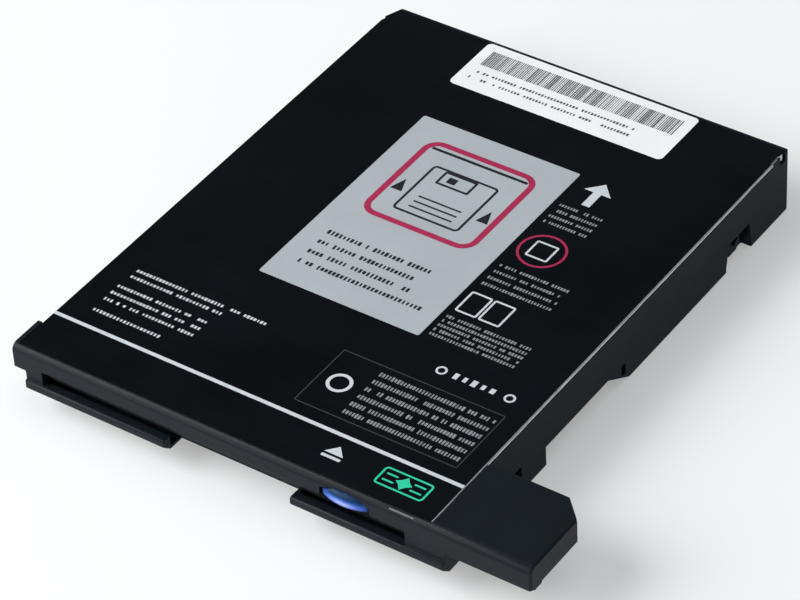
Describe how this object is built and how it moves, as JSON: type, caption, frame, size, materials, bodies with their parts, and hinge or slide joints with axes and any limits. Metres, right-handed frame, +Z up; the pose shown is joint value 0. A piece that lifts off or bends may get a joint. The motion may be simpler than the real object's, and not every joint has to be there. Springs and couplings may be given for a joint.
{
  "type": "floppy disk drive",
  "caption": "Slim 3.5-inch floppy disk drive module for a portable computer's bay, with a slot front, an eject button, a flat lid and a thin bay block at the right.",
  "frame": {"origin": "under the middle of the whole outline, on the plane that the drive lies on", "axes": "+X to the right seen from the front, +Y towards the back, +Z up"},
  "size_m": [0.1296, 0.1418, 0.0166],
  "materials": {
    "case_plastic": "fine matt texture",
    "cover_paint": "satin black",
    "front_plastic": "fine matt texture",
    "blue_button": "glossy",
    "pale_light": "milky",
    "dark_flap": "matt",
    "steel": "plated sheet",
    "pin_steel": "polished",
    "bronze": "machined",
    "copper": "enamelled wire",
    "gold": "plated",
    "magnet": "dull",
    "board_green": "solder resist",
    "chip_black": "matt",
    "plug_black": "matt",
    "head_white": "ceramic white",
    "frame_white": "moulded",
    "amber_film": "film",
    "lamp_green": "clear"
  },
  "bodies": {
    "housing": {"bottom_case": "case_plastic", "side_catch": "case_plastic", "top_cover": "cover_paint", "front_bezel": "front_plastic", "block_cover": "front_plastic", "light_pipe": "pale_light", "activity_light": "lamp_green", "chassis": "steel", "datum_posts": "steel", "motor_board": "board_green", "spindle_bearing": "bronze", "motor_stator": "steel", "stator_coils": "copper", "switch_board": "board_green", "switch_bodies": "chip_black", "main_board": "board_green", "board_chips": "chip_black", "motor_cable": "amber_film", "track_sensor": "chip_black", "rear_connector": "plug_black", "connector_contacts": "gold", "guide_rod": "pin_steel", "rod_clamps": "frame_white", "screw_bearing": "steel", "stepper_motor": "pin_steel", "stepper_bracket": "steel", "eject_spring_left": "pin_steel", "eject_spring_right": "pin_steel"},
    "eject_unit": {"eject_slider": "steel", "eject_button": "blue_button"},
    "cradle": {"disk_holder": "steel", "holder_pins": "pin_steel", "lever_pivot": "pin_steel", "lever_spring": "pin_steel"},
    "shutter_arm": {"shutter_lever": "steel"},
    "flap": {"dust_flap": "dark_flap"},
    "rotor": {"spindle_rotor": "steel", "rotor_magnet": "magnet", "hub_plate": "pin_steel", "spindle_shaft": "pin_steel", "drive_lever_pin": "pin_steel"},
    "drive_arm": {"drive_lever": "steel"},
    "carriage": {"head_carriage": "frame_white", "lower_head": "head_white", "arm_pin": "pin_steel", "arm_spring": "pin_steel"},
    "head_arm": {"upper_arm": "frame_white", "upper_head": "head_white"},
    "screw": {"lead_screw": "pin_steel"},
    "write_protect_switch": {"write_protect_plunger": "frame_white"},
    "density_switch": {"density_plunger": "frame_white"},
    "disk_switch": {"disk_plunger": "frame_white"}
  },
  "joints": [
    {"name": "eject_slide", "type": "slide", "parent": "housing", "child": "eject_unit", "axis": [0, -1, 0], "range_m": [0, 0.005], "deforming": ["eject_spring_left", "eject_spring_right"]},
    {"name": "cradle_drop", "type": "slide", "parent": "housing", "child": "cradle", "axis": [0, 0, -1], "range_m": [0, 0.002]},
    {"name": "shutter_swing", "type": "hinge", "parent": "cradle", "child": "shutter_arm", "pos_m": [-0.0493, 0.016, 0.013], "axis": [0, 0, 1], "range_deg": [0, 60], "stiffness_Nm_per_rad": 0.002},
    {"name": "flap_hinge", "type": "hinge", "parent": "housing", "child": "flap", "pos_m": [-0.0113, -0.0676, 0.01245], "axis": [1, 0, 0], "range_deg": [0, 90], "stiffness_Nm_per_rad": 0.0005},
    {"name": "spindle_spin", "type": "hinge", "parent": "housing", "child": "rotor", "pos_m": [-0.0113, -0.0225, 0.0055], "axis": [0, 0, 1], "continuous": true},
    {"name": "drive_arm_swing", "type": "hinge", "parent": "rotor", "child": "drive_arm", "pos_m": [-0.0187, -0.0155, 0.0065], "axis": [0, 0, 1], "range_deg": [-2, 2], "stiffness_Nm_per_rad": 0.0001},
    {"name": "carriage_slide", "type": "slide", "parent": "housing", "child": "carriage", "axis": [0, -1, 0], "range_m": [0, 0.0148]},
    {"name": "head_arm_hinge", "type": "hinge", "parent": "carriage", "child": "head_arm", "pos_m": [-0.0113, 0.043, 0.0106], "axis": [1, 0, 0], "range_deg": [0, 9.1]},
    {"name": "screw_turn", "type": "hinge", "parent": "housing", "child": "screw", "pos_m": [-0.0253, 0.038, 0.0074], "axis": [0, 1, 0], "range_deg": [0, 1440]},
    {"name": "write_protect_press", "type": "slide", "parent": "housing", "child": "write_protect_switch", "axis": [0, 0, -1], "range_m": [0, 0.001], "stiffness_N_per_m": 100},
    {"name": "density_press", "type": "slide", "parent": "housing", "child": "density_switch", "axis": [0, 0, -1], "range_m": [0, 0.001], "stiffness_N_per_m": 100},
    {"name": "disk_press", "type": "slide", "parent": "housing", "child": "disk_switch", "axis": [0, 0, -1], "range_m": [0, 0.001], "stiffness_N_per_m": 100}
  ],
  "couplings": [
    {"joint": "cradle_drop", "follows": "eject_slide", "ratio": 0.4},
    {"joint": "head_arm_hinge", "follows": "eject_slide", "rad_per_m": 31.76},
    {"joint": "screw_turn", "follows": "carriage_slide", "rad_per_m": 1675.5}
  ]
}
